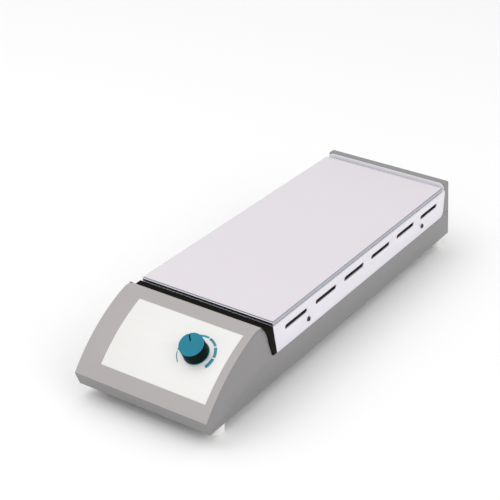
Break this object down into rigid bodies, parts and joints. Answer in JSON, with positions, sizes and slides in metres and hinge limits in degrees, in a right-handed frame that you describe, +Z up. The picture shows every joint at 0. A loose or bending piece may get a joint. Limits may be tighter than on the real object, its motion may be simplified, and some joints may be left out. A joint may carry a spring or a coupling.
{
  "type": "ten-place magnetic stirrer",
  "caption": "Long low laboratory stirrer: sloping control face with a speed knob, flat matted deck over belt-driven magnet rotors, slotted side skirts and rear power inlet.",
  "frame": {"origin": "centre of the footprint, on the surface that the rubber feet stand on", "axes": "+Z up, +Y from the control face to the rear power inlet, +X to the right seen from the front"},
  "size_m": [0.1906, 0.6126, 0.1075],
  "materials": {
    "body_grey": "fine moulded texture",
    "housing_grey": "fine moulded texture",
    "panel_white": "satin film",
    "scale_teal": "printed ink",
    "gasket_black": "smooth",
    "cover_pale": "smooth powder coat",
    "plate_steel": "polished edge",
    "mat_pale": "smooth silicone",
    "foot_rubber": "smooth",
    "fastener_steel": "bright zinc",
    "chassis_steel": "zinc-plated sheet",
    "shaft_steel": "ground",
    "bush_bronze": "sintered bronze",
    "belt_rubber": "smooth round belt",
    "motor_case": "satin black",
    "pulley_plastic": "moulded",
    "magnet_nickel": "nickel plate",
    "board_green": "circuit board and its components",
    "pot_blue": "moulded control body",
    "knob_teal": "fine texture",
    "fitting_black": "moulded",
    "wire_red": "insulated wire"
  },
  "bodies": {
    "housing": {"base_tub": "body_grey", "front_housing": "housing_grey", "control_panel": "panel_white", "speed_scale": "scale_teal", "front_gasket": "gasket_black", "top_cover": "cover_pale", "plate_seal": "gasket_black", "work_plate": "plate_steel", "work_mat": "mat_pale", "rear_cap": "body_grey", "rubber_feet": "foot_rubber", "foot_screws": "fastener_steel", "cover_screws": "fastener_steel", "chassis_plate": "chassis_steel", "chassis_screws": "fastener_steel", "rotor_axles": "shaft_steel", "rotor_bushes": "bush_bronze", "axle_circlips": "shaft_steel", "lower_belts": "belt_rubber", "upper_belts": "belt_rubber", "motor_can": "motor_case", "motor_bracket": "chassis_steel", "control_board": "board_green", "potentiometer": "pot_blue", "power_supply": "board_green", "mains_inlet": "fitting_black", "rocker_bezel": "fitting_black", "wiring_loom": "wire_red"},
    "speed_control": {"speed_knob": "knob_teal", "knob_shaft": "shaft_steel"},
    "drive": {"motor_shaft": "shaft_steel", "motor_pulley": "pulley_plastic"},
    "fuse": {"fuse_drawer": "fitting_black"},
    "power_switch": {"power_rocker": "fitting_black"},
    "stirrer_left_1": {"rotor_left_1": "pulley_plastic", "magnets_left_1": "magnet_nickel"},
    "stirrer_left_2": {"rotor_left_2": "pulley_plastic", "magnets_left_2": "magnet_nickel"},
    "stirrer_left_3": {"rotor_left_3": "pulley_plastic", "magnets_left_3": "magnet_nickel"},
    "stirrer_left_4": {"rotor_left_4": "pulley_plastic", "magnets_left_4": "magnet_nickel"},
    "stirrer_left_5": {"rotor_left_5": "pulley_plastic", "magnets_left_5": "magnet_nickel"},
    "stirrer_right_1": {"rotor_right_1": "pulley_plastic", "magnets_right_1": "magnet_nickel"},
    "stirrer_right_2": {"rotor_right_2": "pulley_plastic", "magnets_right_2": "magnet_nickel"},
    "stirrer_right_3": {"rotor_right_3": "pulley_plastic", "magnets_right_3": "magnet_nickel"},
    "stirrer_right_4": {"rotor_right_4": "pulley_plastic", "magnets_right_4": "magnet_nickel"},
    "stirrer_right_5": {"rotor_right_5": "pulley_plastic", "magnets_right_5": "magnet_nickel"}
  },
  "joints": [
    {"name": "motor_spin", "type": "hinge", "parent": "housing", "child": "drive", "pos_m": [-0.045, -0.22775, 0.046], "axis": [0, 0, 1], "continuous": true},
    {"name": "speed_turn", "type": "hinge", "parent": "housing", "child": "speed_control", "pos_m": [0.0425, -0.25557, 0.08318], "axis": [0, -0.5454, 0.8382], "range_deg": [-163, 103]},
    {"name": "switch_tip", "type": "hinge", "parent": "housing", "child": "power_switch", "pos_m": [-0.02, 0.29525, 0.0357], "axis": [0, 0, 1], "range_deg": [0, 14]},
    {"name": "fuse_slide", "type": "slide", "parent": "housing", "child": "fuse", "axis": [0, 1, 0], "range_m": [0, 0.018]},
    {"name": "spin_left_1", "type": "hinge", "parent": "housing", "child": "stirrer_left_1", "pos_m": [-0.045, -0.13275, 0.076], "axis": [0, 0, 1], "continuous": true},
    {"name": "spin_left_2", "type": "hinge", "parent": "housing", "child": "stirrer_left_2", "pos_m": [-0.045, -0.04275, 0.076], "axis": [0, 0, 1], "continuous": true},
    {"name": "spin_left_3", "type": "hinge", "parent": "housing", "child": "stirrer_left_3", "pos_m": [-0.045, 0.04725, 0.076], "axis": [0, 0, 1], "continuous": true},
    {"name": "spin_left_4", "type": "hinge", "parent": "housing", "child": "stirrer_left_4", "pos_m": [-0.045, 0.13725, 0.076], "axis": [0, 0, 1], "continuous": true},
    {"name": "spin_left_5", "type": "hinge", "parent": "housing", "child": "stirrer_left_5", "pos_m": [-0.045, 0.22725, 0.076], "axis": [0, 0, 1], "continuous": true},
    {"name": "spin_right_1", "type": "hinge", "parent": "housing", "child": "stirrer_right_1", "pos_m": [0.045, -0.13275, 0.076], "axis": [0, 0, 1], "continuous": true},
    {"name": "spin_right_2", "type": "hinge", "parent": "housing", "child": "stirrer_right_2", "pos_m": [0.045, -0.04275, 0.076], "axis": [0, 0, 1], "continuous": true},
    {"name": "spin_right_3", "type": "hinge", "parent": "housing", "child": "stirrer_right_3", "pos_m": [0.045, 0.04725, 0.076], "axis": [0, 0, 1], "continuous": true},
    {"name": "spin_right_4", "type": "hinge", "parent": "housing", "child": "stirrer_right_4", "pos_m": [0.045, 0.13725, 0.076], "axis": [0, 0, 1], "continuous": true},
    {"name": "spin_right_5", "type": "hinge", "parent": "housing", "child": "stirrer_right_5", "pos_m": [0.045, 0.22725, 0.076], "axis": [0, 0, 1], "continuous": true}
  ],
  "couplings": [
    {"joint": "spin_left_1", "follows": "motor_spin", "ratio": 1},
    {"joint": "spin_left_2", "follows": "motor_spin", "ratio": 1},
    {"joint": "spin_left_3", "follows": "motor_spin", "ratio": 1},
    {"joint": "spin_left_4", "follows": "motor_spin", "ratio": 1},
    {"joint": "spin_left_5", "follows": "motor_spin", "ratio": 1},
    {"joint": "spin_right_1", "follows": "motor_spin", "ratio": 1},
    {"joint": "spin_right_2", "follows": "motor_spin", "ratio": 1},
    {"joint": "spin_right_3", "follows": "motor_spin", "ratio": 1},
    {"joint": "spin_right_4", "follows": "motor_spin", "ratio": 1},
    {"joint": "spin_right_5", "follows": "motor_spin", "ratio": 1}
  ]
}
